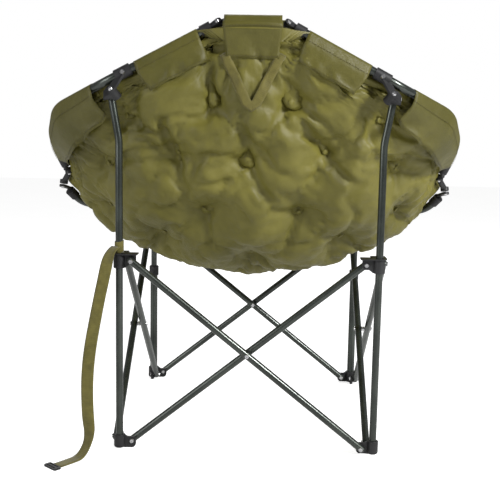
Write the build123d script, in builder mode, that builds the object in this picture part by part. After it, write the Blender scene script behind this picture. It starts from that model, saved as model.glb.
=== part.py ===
from build123d import *
from math import atan2, cos, degrees, hypot, radians, sin, sqrt, tan
import os

os.makedirs("parts", exist_ok=True)

# Folding saucer chair. Millimetres, +Z up, origin on the floor under the middle of the base.
# The sitter faces -Y, so the back of the chair is at +Y and the sitter's left is +X.

# ---------------------------------------------------------------- base frame
leg_spacing = 530.0          # between leg axes, the same across and front to back
frame_shift = 48.36          # the middle of the base lies this far behind the chair's middle
pivot_inset = 26.0           # from a leg axis to the rivets of its foot and collar
foot_pivot_height = 14.0
collar_pivot_height = 397.0
leg_bore_gap = 0.10          # round a tube that is fixed in its socket
slide_gap = 0.35             # round a tube that slides in a collar or a cap
running_gap = 0.05           # round a rivet's shank where something turns on it
face_gap = 0.30              # between faces that turn past each other

leg_tube_d = 15.0
front_outer_tube_d = 19.0
cross_tube_d = 15.0
tube_wall = 1.2
cross_tube_overhang = 8.5    # a cross tube beyond its end rivet
cross_tube_end_round = 4.0

ear_thickness = 6.0
ear_beyond_pivot = 8.5
foot_height = 28.0
foot_floor = 4.0             # under the leg in its socket
socket_wall = 4.0
collar_height = 30.0
collar_wall = 4.0
collar_lip_thickness = 2.2
collar_lip_overhang = 4.0

rear_leg_bend_height = 640.0
rear_leg_bend_radius = 110.0
rear_leg_lean = 16.0         # sideways from the bend to the rivet at the top
leg_end_beyond_rivet = 8.0

front_outer_tube_top = 300.0
front_cap_height = 26.0
front_cap_wall = 2.6
front_cap_top = 4.0          # closed round the inner tube
front_inner_tube_low = 40.0

rivet_d = 5.0
rivet_head_d = 10.0
rivet_head_height = 2.4
rivet_seat_gap = 0.10        # under a rivet's head
rivet_ring_d = 3.0           # the rolled hole in a tubular rivet's head
centre_spacer_d = 11.0

# ---------------------------------------------------------------- ring
ring_tube_d = 18.0
lug_thickness = 5.0
lug_radius = 9.0
lug_stem_radius = 5.5        # between a lug and its cap
cap_wall = 2.2               # round the ends of the ring's tubes
cap_length = 20.0
clamp_wall = 3.0
clamp_length = 34.0
clamp_arm_radius = 9.0
cheek_thickness = 4.5        # of the forks at the tops of the legs
cheek_radius = 10.0
fork_gap = 0.4               # beside the leg in its fork
boss_radius = 9.5
boss_depth = 19.0
blind_rivet_depth = 12.0
link_boss_height = 8.0
link_web_radius = 6.5
joint_gap = 0.30             # between the lugs that one rivet holds
open_joint_gap = 2.4         # between the lugs of the back and front joints on the right
open_bar_gap = 5.0           # the back bar's right end stands this far short of its joint
open_side_gap = 4.0          # between the link and the front lug at the side joints

# left hand joints: a point on each axis, and the axes, which are skew in space
rear_tilt_pivot = Vector(281, 265, 731)
rear_ring_pivot = Vector(284, 300, 749)
rear_ring_axis = Vector(0.46397, 0.62719, 0.62559).normalized()
back_joint = Vector(68.92, 265, 872.55)
side_rear_joint = Vector(425.60, 9.70, 565.20)
side_rear_axis = Vector(0.20002, -0.14927, 0.96836).normalized()
side_front_joint = Vector(445.60, -19.26, 531.20)
side_front_axis = Vector(0.104, 0.280, -0.954).normalized()
front_tilt_pivot = Vector(265, -265, 437)
front_ring_pivot = Vector(236, -235, 445)
front_ring_axis = Vector(0.31529, 0.94621, 0.07260).normalized()
front_joint = Vector(94.43, -378.08, 485)
# the corners of the ring's tubes between those joints, and the radius of each bend
rear_ring_corners = [Vector(290, 266, 756), Vector(415, 165, 703), Vector(452, 60, 640)]
rear_ring_radii = [60.0, 110.0, 110.0]
front_ring_corners = [Vector(408.60, -65.07, 481.74), Vector(149.83, -283.65, 464.05)]
front_ring_radii = [85.0, 85.0]
# from a joint to where the tube in its end cap begins
back_start = 18.0
side_rear_start = 18.0
side_front_start = 26.0
front_start = 18.0
front_bar_start = 36.0
rear_clamp_before_bend = 38.0
front_clamp_from_joint = 238.0   # from the first front corner along the side run
rear_fold_turn = 51.8        # of the ring on its block when the chair is folded
relief_shares = (0.6, 0.8, 1.0)  # of that turn, where the block is hollowed for the tube
relief_gap = 0.8
relief_reach = 24.0
front_notch = Vector(-6.1, 15.6, 17.2)   # from the front tilt pivot to the notch's middle
front_notch_size = (12.0, 6.0, 3.6)      # it clears the folded clamp's rim
rear_fold_tilt = 7.8         # of a block on its leg when the chair is folded
front_fold_tilt = 34.9

# ---------------------------------------------------------------- cover and straps
rim_inset = 20.0             # from the ring's line to the edge of the saucer
rim_thickness = 8.0
saucer_thickness = 22.0
tuft_radius = 30.0           # of the round that presses a tuft in
tuft_depth = 4.0
sleeve_gap = 0.4             # round a tube or a cap in its sleeve of cloth
sleeve_wall = 1.8
# planes fan out from a line across the chair: the angle of each above the horizontal,
# and the distance from that line to the middle of the padding
saucer_hub = Vector(0, -80, 750)
saucer_fan = [
    (16.4, 351), (11, 343), (5, 335), (-1, 327), (-8, 321), (-20, 316), (-36, 322),
    (-52, 343), (-68, 372), (-84, 391), (-100, 394), (-116, 388), (-128, 392), (-135.6, 398),
]
tuft_rows = [(4, (-150, 0, 150)), (5, (-250, -80, 80, 250)), (6, (-180, 0, 180)),
             (7, (-290, -95, 95, 290)), (8, (-200, 0, 200)), (9, (-110, 110))]

back_sleeve_half = 57.0
bar_sleeve_radius = 15.0     # inside, over the end fittings of the bars
upper_sleeve = (44.0, 184.0)     # from the back joint along the tube
side_sleeve = (60.0, 46.0)       # from the corner behind the leg, and from the side joint
front_sleeve_half = 56.0

handle_width = 18.0
handle_thickness = 2.4
handle_top = (55.0, 50.0)        # beside and above the middle of its plane
handle_low = (5.0, -34.0)
handle_height = 750.0            # of the middle of its plane

strap_width = 25.0
strap_thickness = 2.2
strap_heading = 48.0             # from +X toward +Y, as it leaves the leg
strap_loop_gap = 0.5             # round the leg
# the strap's middle line, outward from the leg and up
strap_route = [
    (9.1, 426.0), (24.0, 420.0), (37.0, 372.0), (54.0, 318.0), (67.0, 262.0), (77.0, 205.0),
    (83.0, 147.0), (83.0, 90.0), (76.0, 40.0), (96.0, 5.0), (126.0, 2.6), (158.0, 1.9),
]
buckle_bar = 38.0
buckle_depth = 16.0
buckle_thickness = 4.0

half_spacing = leg_spacing / 2
pivot_half_span = half_spacing - pivot_inset
cross_rise = collar_pivot_height - foot_pivot_height
cross_pivot_length = hypot(2 * pivot_half_span, cross_rise)
tube_layer = ear_thickness / 2 + face_gap + cross_tube_d / 2


def turned(k, x, y):
    """A point of the rear left corner or the rear side, turned to corner or side k."""
    angle = radians(-90 * k)
    return x * cos(angle) - y * sin(angle), x * sin(angle) + y * cos(angle)


def rivet(start, axis, length, low_head=True, high_head=True):
    """A shank from start along axis, with a domed head that has a rolled hole beyond each end."""
    with BuildSketch(Plane(origin=start, z_dir=axis)) as profile:
        Circle(rivet_d / 2)
    extrude(profile.sketch, amount=length)
    ends = ((start, axis * -1, low_head), (start + axis * length, axis, high_head))
    for base, outward, wanted in ends:
        if wanted:
            seat = Plane(origin=base, z_dir=outward)
            with BuildSketch(seat) as profile:
                Circle(rivet_head_d / 2)
            extrude(profile.sketch, amount=rivet_head_height, taper=28)
            with BuildSketch(seat.offset(rivet_head_height)) as profile:
                Circle(rivet_ring_d / 2)
            extrude(profile.sketch, amount=-0.6 * rivet_head_height, mode=Mode.SUBTRACT)


def write(piece, name):
    """Export a piece, moved from the middle of the base to the middle of the whole chair."""
    placed = piece.moved(Location((0, frame_shift, 0)))
    placed.label = name
    export_step(placed, f"parts/{name}.step")


def write_pair(piece, name):
    """The left hand piece and its mirror image; name holds a gap for the hand."""
    write(piece, name.format("left"))
    write(mirror(piece, about=Plane.YZ), name.format("right"))


print("cross tube between pivots", round(cross_pivot_length, 2))

corners = ["rear_left", "front_left", "front_right", "rear_right"]
sides = ["rear", "left", "front", "right"]


def ear_planes(k):
    """The mid planes of a corner's two ears: local x runs from the leg to the rivet, y up."""
    planes = []
    for along, out in (((-1, 0), (0, 1)), ((0, -1), (-1, 0))):
        leg = turned(k, half_spacing, half_spacing)
        x_dir = turned(k, *along)
        normal = turned(k, *out)
        planes.append(Plane(origin=(*leg, 0), x_dir=(*x_dir, 0), z_dir=(*normal, 0)))
    return planes


# ---------------------------------------------------------------- feet
for k, corner in enumerate(corners):
    tube_d = leg_tube_d if k in (0, 3) else front_outer_tube_d
    socket_r = tube_d / 2 + leg_bore_gap + socket_wall
    leg = turned(k, half_spacing, half_spacing)
    with BuildPart() as foot:
        with BuildSketch(Plane.XY):
            with Locations(leg):
                Circle(socket_r)
        extrude(amount=foot_height)
        fillet(foot.edges().group_by(Axis.Z)[0], 4.5)
        chamfer(foot.edges().group_by(Axis.Z)[-1], 1.0)
        for plane in ear_planes(k):
            with BuildSketch(plane):
                with BuildLine():
                    far = pivot_inset + ear_beyond_pivot
                    low = Line((0, 0), (far - 9, 0))
                    toe = RadiusArc((far - 9, 0), (far, 9), -9)
                    end = Line((far, 9), (far, foot_pivot_height + 4))
                    top = RadiusArc((far, foot_pivot_height + 4), (far - 5, foot_pivot_height + 9), -5)
                    Polyline(top @ 1, (socket_r + 5, foot_height - 5), (socket_r - 1, foot_height - 1), (0, foot_height - 1), low @ 0)
                make_face()
            extrude(amount=ear_thickness / 2, both=True)
            with BuildSketch(plane.offset(-ear_thickness)):
                with Locations((pivot_inset, foot_pivot_height)):
                    Circle(rivet_d / 2 + running_gap)
            extrude(amount=2 * ear_thickness, mode=Mode.SUBTRACT)
        with BuildSketch(Plane.XY.offset(foot_floor)):
            with Locations(leg):
                Circle(tube_d / 2 + leg_bore_gap)
        extrude(amount=foot_height, mode=Mode.SUBTRACT)
    write(foot.part, f"{corner}_foot")

# ---------------------------------------------------------------- collars that slide on the legs
collar_r = leg_tube_d / 2 + slide_gap + collar_wall
for k, corner in enumerate(corners):
    leg = turned(k, half_spacing, half_spacing)
    collar_low = collar_pivot_height - collar_height / 2 - 1
    ear_top = collar_pivot_height + cross_tube_d / 2 + 5
    with BuildPart() as collar:
        with BuildSketch(Plane.XY.offset(collar_low)):
            with Locations(leg):
                Circle(collar_r)
        extrude(amount=ear_top - collar_low)
        fillet(collar.edges().group_by(Axis.Z)[0], 1.5)
        for plane in ear_planes(k):
            with BuildSketch(plane):
                with BuildLine():
                    far = pivot_inset + ear_beyond_pivot
                    bottom = collar_pivot_height - 9
                    root = Line((0, collar_low + 1), (collar_r + 1, collar_low + 1))
                    under = Line(root @ 1, (pivot_inset - 5, bottom))
                    across = Line(under @ 1, (far - 5, bottom))
                    nose = RadiusArc(across @ 1, (far, bottom + 5), -5)
                    Polyline(nose @ 1, (far, ear_top), (0, ear_top), root @ 0)
                make_face()
            extrude(amount=ear_thickness / 2, both=True)
            with BuildSketch(plane.offset(-ear_thickness)):
                with Locations((pivot_inset, collar_pivot_height)):
                    Circle(rivet_d / 2 + running_gap)
            extrude(amount=2 * ear_thickness, mode=Mode.SUBTRACT)
        with BuildSketch(Plane.XY.offset(ear_top)):
            lip_width = 2 * tube_layer + cross_tube_d - 6
            lip_reach = pivot_inset + ear_beyond_pivot + collar_lip_overhang
            for plane in ear_planes(k):
                heading = plane.x_dir
                middle = (leg[0] + heading.X * lip_reach / 2, leg[1] + heading.Y * lip_reach / 2)
                size = (lip_reach, lip_width) if abs(heading.X) > 0.5 else (lip_width, lip_reach)
                with Locations(middle):
                    RectangleRounded(*size, 3)
            with Locations(leg):
                Circle(lip_width / 2)
        extrude(amount=collar_lip_thickness)
        with BuildSketch(Plane.XY.offset(collar_low - 1)):
            with Locations(leg):
                Circle(leg_tube_d / 2 + slide_gap)
        extrude(amount=collar_height + 20, mode=Mode.SUBTRACT)
    write(collar.part, f"{corner}_collar")

# ---------------------------------------------------------------- crossed tubes and their rivets
for k, side in enumerate(sides):
    middle = turned(k, 0, half_spacing)
    x_dir = turned(k, -1, 0)
    normal = turned(k, 0, 1)
    face = Plane(origin=(*middle, 0), x_dir=(*x_dir, 0), z_dir=(*normal, 0))
    for name, heading, layer in (("inner", 1, -tube_layer), ("outer", -1, tube_layer)):
        low = Vector(-heading * pivot_half_span, foot_pivot_height)
        high = Vector(heading * pivot_half_span, collar_pivot_height)
        along = (high - low).normalized()
        start = face.from_local_coords((low.X, low.Y, layer))
        direction = face.from_local_coords((high.X, high.Y, layer)) - start
        tube_plane = Plane(origin=start, x_dir=(*normal, 0), z_dir=direction)
        with BuildPart() as cross_tube:
            with BuildSketch(tube_plane.offset(-cross_tube_overhang)):
                Circle(cross_tube_d / 2)
            extrude(amount=cross_pivot_length + 2 * cross_tube_overhang)
            fillet(cross_tube.edges(), cross_tube_end_round)
            with BuildSketch(tube_plane.offset(-cross_tube_overhang + 6 * tube_wall)):
                Circle(cross_tube_d / 2 - tube_wall)
            hollow = cross_pivot_length + 2 * cross_tube_overhang - 12 * tube_wall
            extrude(amount=hollow, mode=Mode.SUBTRACT)
            with BuildSketch(face.offset(layer - cross_tube_d)):
                centre = (low + high) / 2
                with Locations((low.X, low.Y), (high.X, high.Y), (centre.X, centre.Y)):
                    Circle(rivet_d / 2 + running_gap)
            extrude(amount=2 * cross_tube_d, mode=Mode.SUBTRACT)
        write(cross_tube.part, f"{side}_{name}_tube")

        # a rivet runs from its domed head on the tube to the one behind the ear
        on_tube = abs(layer) + cross_tube_d / 2 + rivet_seat_gap
        behind_ear = ear_thickness / 2 + rivet_seat_gap
        out = 1 if layer > 0 else -1
        spans = [(low, out * on_tube, -out * behind_ear), (high, out * on_tube, -out * behind_ear)]
        if name == "inner":
            spans.append(((low + high) / 2, -on_tube, on_tube))
        with BuildPart() as rivets:
            for point, head_a, head_b in spans:
                bottom = min(head_a, head_b)
                shank = face.from_local_coords((point.X, point.Y, bottom))
                rivet(shank, Vector(*normal, 0), abs(head_a - head_b))
            if name == "inner":
                spacer_length = 2 * tube_layer - cross_tube_d - 0.4
                centre = (low + high) / 2
                spacer = face.from_local_coords((centre.X, centre.Y, -spacer_length / 2))
                with BuildSketch(Plane(origin=spacer, x_dir=direction, z_dir=(*normal, 0))):
                    Circle(centre_spacer_d / 2)
                extrude(amount=spacer_length)
        write(rivets.part, f"{side}_{name}_rivets")


# ---------------------------------------------------------------- legs
def drilled(point, axis, radius, reach=20):
    """A round hole through whatever lies within reach of point along axis."""
    with BuildSketch(Plane(origin=point - axis * reach, z_dir=axis)) as profile:
        Circle(radius)
    extrude(profile.sketch, amount=2 * reach, mode=Mode.SUBTRACT)


rear_leg_foot = Vector(half_spacing, half_spacing, foot_floor)
rear_leg_bend = Vector(half_spacing, half_spacing, rear_leg_bend_height)
rear_leg_rise = (rear_tilt_pivot - rear_leg_bend).normalized()
rear_leg_end = rear_tilt_pivot + rear_leg_rise * leg_end_beyond_rivet
with BuildPart() as rear_leg:
    with BuildLine() as leg_line:
        FilletPolyline(rear_leg_foot, rear_leg_bend, rear_leg_end, radius=rear_leg_bend_radius)
    with BuildSketch(Plane(origin=rear_leg_foot, z_dir=(0, 0, 1))):
        Circle(leg_tube_d / 2)
        Circle(leg_tube_d / 2 - tube_wall, mode=Mode.SUBTRACT)
    sweep(path=leg_line.line)
    drilled(rear_tilt_pivot, Vector(1, 0, 0), rivet_d / 2 + running_gap)
write_pair(rear_leg.part, "rear_{}_leg")

front_leg = Vector(half_spacing, -half_spacing, 0)
with BuildPart() as front_outer_tube:
    with BuildSketch(Plane(origin=front_leg + Vector(0, 0, foot_floor))):
        Circle(front_outer_tube_d / 2)
        Circle(front_outer_tube_d / 2 - tube_wall, mode=Mode.SUBTRACT)
    extrude(amount=front_outer_tube_top - foot_floor)
write_pair(front_outer_tube.part, "front_{}_outer_tube")

# the cap grips the outer tube and guides the inner one
cap_r = front_outer_tube_d / 2 + leg_bore_gap + front_cap_wall
cap_low = front_outer_tube_top - front_cap_height + front_cap_top
with BuildPart() as front_cap:
    with BuildSketch(Plane(origin=front_leg + Vector(0, 0, cap_low))):
        Circle(cap_r)
    extrude(amount=front_cap_height)
    fillet(front_cap.edges().sort_by(Axis.Z)[-1], 3.0)
    chamfer(front_cap.edges().sort_by(Axis.Z)[0], 1.0)
    with BuildSketch(Plane(origin=front_leg + Vector(0, 0, cap_low))):
        Circle(front_outer_tube_d / 2 + leg_bore_gap)
    extrude(amount=front_cap_height - front_cap_top, mode=Mode.SUBTRACT)
    with BuildSketch(Plane(origin=front_leg + Vector(0, 0, cap_low))):
        Circle(leg_tube_d / 2 + slide_gap)
    extrude(amount=front_cap_height, mode=Mode.SUBTRACT)
write_pair(front_cap.part, "front_{}_cap")

front_tube_low = front_leg + Vector(0, 0, front_inner_tube_low)
front_tube_high = front_tilt_pivot.Z + leg_end_beyond_rivet
with BuildPart() as front_inner_tube:
    with BuildSketch(Plane(origin=front_tube_low)):
        Circle(leg_tube_d / 2)
        Circle(leg_tube_d / 2 - tube_wall, mode=Mode.SUBTRACT)
    extrude(amount=front_tube_high - front_inner_tube_low)
    drilled(front_tilt_pivot, Vector(1, 0, 0), rivet_d / 2 + running_gap)
write_pair(front_inner_tube.part, "front_{}_inner_tube")


# ---------------------------------------------------------------- blocks between legs and ring
ring_r = ring_tube_d / 2
clamp_r = ring_r + leg_bore_gap + clamp_wall
ring_cap_r = ring_r + leg_bore_gap + cap_wall
fork_inner = leg_tube_d / 2 + fork_gap
fork_outer = fork_inner + cheek_thickness
rivet_hole_r = rivet_d / 2 + running_gap


def hinge_seat(tilt_pivot, ring_pivot, axis):
    """The point of the ring's hinge axis where a plate clears the whole fork below it."""
    span = abs(axis.X) * fork_outer + sqrt(1 - axis.X ** 2) * cheek_radius + 0.6
    return ring_pivot + axis * ((tilt_pivot - ring_pivot).dot(axis) + span)


def block(tilt_pivot, seat, axis, leg_rise, tilt):
    """A fork that tilts about X on the leg's end, with a boss for the ring's hinge."""
    cheeks = Plane(origin=tilt_pivot, x_dir=(0, 1, 0), z_dir=Vector(0, 1, 0).cross(leg_rise))
    hinge = Plane(origin=seat, z_dir=axis)
    boss = cheeks.to_local_coords(seat - axis * boss_radius)
    with BuildSketch(cheeks.offset(-fork_outer)) as profile:
        Circle(cheek_radius)
        with Locations((boss.X, boss.Y)):
            Circle(boss_radius)
        make_hull()
    extrude(profile.sketch, amount=2 * fork_outer)
    shoulder = hinge.to_local_coords(tilt_pivot)
    with BuildSketch(hinge) as profile:
        Circle(boss_radius)
        with Locations((shoulder.X, shoulder.Y)):
            Circle(cheek_radius - 2)
        make_hull()
    extrude(profile.sketch, amount=-(boss_radius - 1))
    with BuildSketch(hinge) as profile:
        Circle(boss_radius)
    extrude(profile.sketch, amount=-boss_depth)
    with BuildSketch(hinge) as profile:
        Circle(80)
    extrude(profile.sketch, amount=80, mode=Mode.SUBTRACT)
    # the leg's end clears the fork over the whole tilt
    end_sweep = hypot(leg_end_beyond_rivet, leg_tube_d / 2) + fork_gap
    with BuildSketch(cheeks.offset(-fork_inner)) as profile:
        Circle(end_sweep)
        for part_tilt in (0, tilt / 2, tilt):
            Rectangle(2 * fork_inner, 40, rotation=part_tilt, align=(Align.CENTER, Align.MAX))
    extrude(profile.sketch, amount=2 * fork_inner, mode=Mode.SUBTRACT)
    with BuildSketch(hinge) as profile:
        Circle(rivet_hole_r)
    extrude(profile.sketch, amount=-blind_rivet_depth, mode=Mode.SUBTRACT)
    # the rivet that the fork tilts on, with flats under its heads
    sideways = Vector(1, 0, 0)
    drilled(tilt_pivot, sideways, rivet_hole_r)
    across = fork_outer - rivet_seat_gap
    for outward in (sideways, sideways * -1):
        with BuildSketch(Plane(origin=tilt_pivot + outward * across, z_dir=outward)) as profile:
            Circle(rivet_head_d / 2 + 0.8)
        extrude(profile.sketch, amount=8, mode=Mode.SUBTRACT)
    rivet(tilt_pivot - sideways * fork_outer, sideways, 2 * fork_outer)


rear_seat = hinge_seat(rear_tilt_pivot, rear_ring_pivot, rear_ring_axis)
front_seat = hinge_seat(front_tilt_pivot, front_ring_pivot, front_ring_axis)
with BuildPart() as rear_block:
    block(rear_tilt_pivot, rear_seat, rear_ring_axis, rear_leg_rise, rear_fold_tilt)
    # a hollow in the fork's outer shoulder, where the folded ring's tube comes to lie
    about = Axis((0, 0, 0), rear_ring_axis)
    for share in relief_shares:
        turn = rear_fold_turn * share
        corner = rear_ring_pivot + (rear_ring_corners[0] - rear_ring_pivot).rotate(about, turn)
        heading = (rear_ring_corners[0] - back_joint).normalized().rotate(about, turn)
        with BuildSketch(Plane(origin=corner - heading * relief_reach, z_dir=heading)):
            Circle(ring_tube_d / 2 + relief_gap)
        extrude(amount=2 * relief_reach, mode=Mode.SUBTRACT)
write_pair(rear_block.part, "rear_{}_block")
with BuildPart() as front_block:
    block(front_tilt_pivot, front_seat, front_ring_axis, Vector(0, 0, 1), front_fold_tilt)
    with Locations(front_tilt_pivot + front_notch):
        Box(*front_notch_size, mode=Mode.SUBTRACT)
write_pair(front_block.part, "front_{}_block")


# ---------------------------------------------------------------- ring fittings
def clamp(seat, axis, on_tube, along, foot, through):
    """A plate on a block's boss, its arm, and the sleeve that holds the ring's tube."""
    hinge = Plane(origin=seat, z_dir=axis).offset(face_gap)
    hold = hinge.to_local_coords(foot)
    with BuildSketch(hinge) as profile:
        Circle(boss_radius)
        with Locations((hold.X, hold.Y)):
            Circle(clamp_arm_radius)
        make_hull()
    extrude(profile.sketch, amount=lug_thickness)
    with BuildSketch(hinge) as profile:
        with Locations((hold.X, hold.Y)):
            Circle(clamp_arm_radius)
    extrude(profile.sketch, amount=max(hold.Z, lug_thickness))
    sleeve = Plane(origin=on_tube, z_dir=along)
    with BuildSketch(sleeve) as profile:
        Circle(clamp_r)
    extrude(profile.sketch, amount=clamp_length / 2, both=True)
    with BuildSketch(sleeve) as profile:
        Circle(ring_r + leg_bore_gap)
    extrude(profile.sketch, amount=clamp_length, both=True, mode=Mode.SUBTRACT)
    drilled(seat, axis, rivet_hole_r, 2 * lug_thickness)
    drilled(on_tube, through, rivet_hole_r)
    for outward in (through, through * -1):
        with BuildSketch(Plane(origin=on_tube + outward * clamp_r, z_dir=outward)) as profile:
            Circle(rivet_head_d / 2 + 0.6)
        extrude(profile.sketch, amount=rivet_head_height + 0.8, mode=Mode.SUBTRACT)


def end_fitting(joint, axis, side, toward, start, gap):
    """A lug on one side of a joint, and the cap that carries it on a tube's end.

    The lug's face stands half the gap from the joint, on the axis's far side where side is 1.
    The cap begins at start from the joint, toward the rest of its tube.
    """
    face = Plane(origin=joint + axis * (side * gap), z_dir=axis * side)
    middle = face.to_local_coords(joint + toward * (start + cap_length * 0.3))
    reach = hypot(middle.X, middle.Y)
    stem = max(reach, lug_radius + lug_stem_radius) / reach
    with BuildSketch(face) as profile:
        Circle(lug_radius)
        with Locations((middle.X * stem, middle.Y * stem)):
            Circle(lug_stem_radius)
        make_hull()
    extrude(profile.sketch, amount=lug_thickness)
    with BuildSketch(face) as profile:
        with Locations((middle.X * stem, middle.Y * stem)):
            Circle(lug_stem_radius)
    extrude(profile.sketch, amount=max(middle.Z, lug_thickness))
    with BuildSketch(Plane(origin=joint + toward * (start - cap_wall), z_dir=toward)) as profile:
        Circle(ring_cap_r)
    extrude(profile.sketch, amount=cap_length + cap_wall)
    # room for the rivet's head, and for the lug across the joint
    with BuildSketch(face.offset(lug_thickness)) as profile:
        Circle(rivet_head_d / 2 + 0.6)
    extrude(profile.sketch, amount=rivet_head_height + 0.8, mode=Mode.SUBTRACT)
    with BuildSketch(face) as profile:
        Circle(lug_radius + 1)
    extrude(profile.sketch, amount=-2 * lug_thickness, mode=Mode.SUBTRACT)
    with BuildSketch(Plane(origin=joint + toward * start, z_dir=toward)) as profile:
        Circle(ring_r + leg_bore_gap)
    extrude(profile.sketch, amount=2 * cap_length, mode=Mode.SUBTRACT)
    drilled(joint, axis, rivet_hole_r, 2 * lug_thickness)


def unit(start, end):
    return (end - start).normalized()


def ring_tube(points, radii, start, end, holes):
    """A bent tube, closed by its end caps and left solid inside, between two joints."""
    first = points[0] + unit(points[0], points[1]) * (start + 0.1)
    last = points[-1] + unit(points[-1], points[-2]) * (end + 0.1)
    with BuildLine() as route:
        FilletPolyline(first, *points[1:-1], last, radius=radii)
    with BuildSketch(Plane(origin=first, z_dir=unit(points[0], points[1]))) as profile:
        Circle(ring_r)
    sweep(profile.sketch, path=route.line)
    for point, through in holes:
        drilled(point, through, rivet_hole_r)
    return route.line


def square_to(direction, along):
    """The part of direction that is square to along, as a unit vector."""
    return (direction - along * direction.dot(along)).normalized()


rear_points = [back_joint, *rear_ring_corners, side_rear_joint]
front_points = [side_front_joint, *front_ring_corners, front_joint]
rear_along = unit(rear_points[0], rear_points[1])
front_along = unit(front_points[1], front_points[2])
rear_hold = rear_points[1] - rear_along * rear_clamp_before_bend
front_hold = front_points[1] + front_along * front_clamp_from_joint
rear_through = square_to(Vector(0, 1, 0), rear_along)
front_through = square_to(Vector(0, 0, 1), front_along)

with BuildPart() as rear_ring:
    rear_route = ring_tube(rear_points, rear_ring_radii, back_start, side_rear_start,
                           [(rear_hold, rear_through)])
write_pair(rear_ring.part, "rear_{}_ring_tube")
with BuildPart() as front_ring:
    front_route = ring_tube(front_points, front_ring_radii, side_front_start, front_start,
                            [(front_hold, front_through)])
write_pair(front_ring.part, "front_{}_ring_tube")

half_joint = joint_gap / 2
with BuildPart() as rear_fittings:
    clamp(rear_seat, rear_ring_axis, rear_hold, rear_along, rear_hold, rear_through)
    end_fitting(back_joint, rear_ring_axis, 1, rear_along, back_start, half_joint)
    end_fitting(side_rear_joint, side_rear_axis, 1, unit(rear_points[-1], rear_points[-2]),
                side_rear_start, half_joint)
write_pair(rear_fittings.part, "rear_{}_ring_fittings")

with BuildPart() as front_fittings:
    front_foot = front_hold + front_along * clamp_length * 0.35
    clamp(front_seat, front_ring_axis, front_hold, front_along, front_foot, front_through)
    end_fitting(front_joint, front_ring_axis, 1, unit(front_points[-1], front_points[-2]),
                front_start, half_joint)
    end_fitting(side_front_joint, side_front_axis, 1, unit(front_points[0], front_points[1]),
                side_front_start, open_side_gap / 2)
write_pair(front_fittings.part, "front_{}_ring_fittings")


def joint_rivet(joint, axis, low, high):
    """A rivet through lugs at a joint; a side whose half gap is None has no lug on it."""
    bottom = -(low[0] + low[1] + rivet_seat_gap) if low else high[0]
    top = high[0] + high[1] + rivet_seat_gap if high else -low[0]
    rivet(joint + axis * bottom, axis, top - bottom, low is not None, high is not None)


# ---------------------------------------------------------------- rivets of the ring
lug = (half_joint, lug_thickness)
hinge_rivet_low = -(blind_rivet_depth - 0.5)
hinge_rivet_high = face_gap + lug_thickness + rivet_seat_gap
clamp_rivet_half = clamp_r + rivet_seat_gap
for hand, lug_below in (("left", lug), ("right", None)):
    with BuildPart() as rear_rivets:
        rivet(rear_seat + rear_ring_axis * hinge_rivet_low, rear_ring_axis,
              hinge_rivet_high - hinge_rivet_low, low_head=False)
        rivet(rear_hold - rear_through * clamp_rivet_half, rear_through, 2 * clamp_rivet_half)
        joint_rivet(back_joint, rear_ring_axis, lug_below, lug)
        joint_rivet(side_rear_joint, side_rear_axis, (half_joint, link_boss_height), lug)
    with BuildPart() as front_rivets:
        rivet(front_seat + front_ring_axis * hinge_rivet_low, front_ring_axis,
              hinge_rivet_high - hinge_rivet_low, low_head=False)
        rivet(front_hold - front_through * clamp_rivet_half, front_through, 2 * clamp_rivet_half)
        joint_rivet(front_joint, front_ring_axis, lug_below, lug)
        joint_rivet(side_front_joint, side_front_axis, None, (open_side_gap / 2, lug_thickness))
    for piece, end in ((rear_rivets.part, "rear"), (front_rivets.part, "front")):
        handed = piece if hand == "left" else mirror(piece, about=Plane.YZ)
        write(handed, f"{end}_{hand}_ring_rivets")


# ---------------------------------------------------------------- bars and side links
def cross_bar(joint, axis, start, short):
    """The bar between the back's or the front's two joints; its right end stops short."""
    flipped = Vector(short - joint.X, joint.Y, joint.Z)
    axis_flipped = Vector(-axis.X, axis.Y, axis.Z)
    open_half = open_joint_gap - half_joint
    end_fitting(joint, axis, -1, Vector(-1, 0, 0), start, half_joint)
    end_fitting(flipped, axis_flipped, -1, Vector(1, 0, 0), start, open_half)
    joint_rivet(flipped, axis_flipped, (open_half, lug_thickness), None)
    tube_length = 2 * (joint.X - start - 0.1) - short
    with BuildSketch(Plane(origin=flipped + Vector(start + 0.1, 0, 0), z_dir=(1, 0, 0))) as profile:
        Circle(ring_r)
        Circle(ring_r - tube_wall, mode=Mode.SUBTRACT)
    extrude(profile.sketch, amount=tube_length)


with BuildPart() as back_bar:
    cross_bar(back_joint, rear_ring_axis, back_start, open_bar_gap)
write(back_bar.part, "back_bar")
with BuildPart() as front_bar:
    cross_bar(front_joint, front_ring_axis, front_bar_start, 0)
write(front_bar.part, "front_bar")

rear_face = Plane(origin=side_rear_joint - side_rear_axis * half_joint, z_dir=side_rear_axis * -1)
front_face = Plane(
    origin=side_front_joint - side_front_axis * (open_side_gap / 2), z_dir=side_front_axis * -1
)
with BuildPart() as link:
    for face in (rear_face, front_face):
        with BuildSketch(face):
            Circle(boss_radius)
        extrude(amount=link_boss_height)
    web_start = rear_face.from_local_coords((0, 0, link_boss_height / 2))
    web_end = front_face.from_local_coords((0, 0, link_boss_height / 2))
    with BuildSketch(Plane(origin=web_start, z_dir=web_end - web_start)):
        Circle(link_web_radius)
    extrude(amount=(web_end - web_start).length)
    for face in (rear_face, front_face):
        with BuildSketch(face):
            Circle(lug_radius + 2)
        extrude(amount=-2 * lug_thickness, mode=Mode.SUBTRACT)
        with BuildSketch(face.offset(link_boss_height)):
            Circle(rivet_head_d / 2 + 0.6)
        extrude(amount=2 * rivet_head_height, mode=Mode.SUBTRACT)
        with BuildSketch(face):
            Circle(rivet_hole_r)
        extrude(amount=link_boss_height + 1, mode=Mode.SUBTRACT)
    joint_rivet(side_front_joint, side_front_axis, (open_side_gap / 2, link_boss_height), None)
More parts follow.
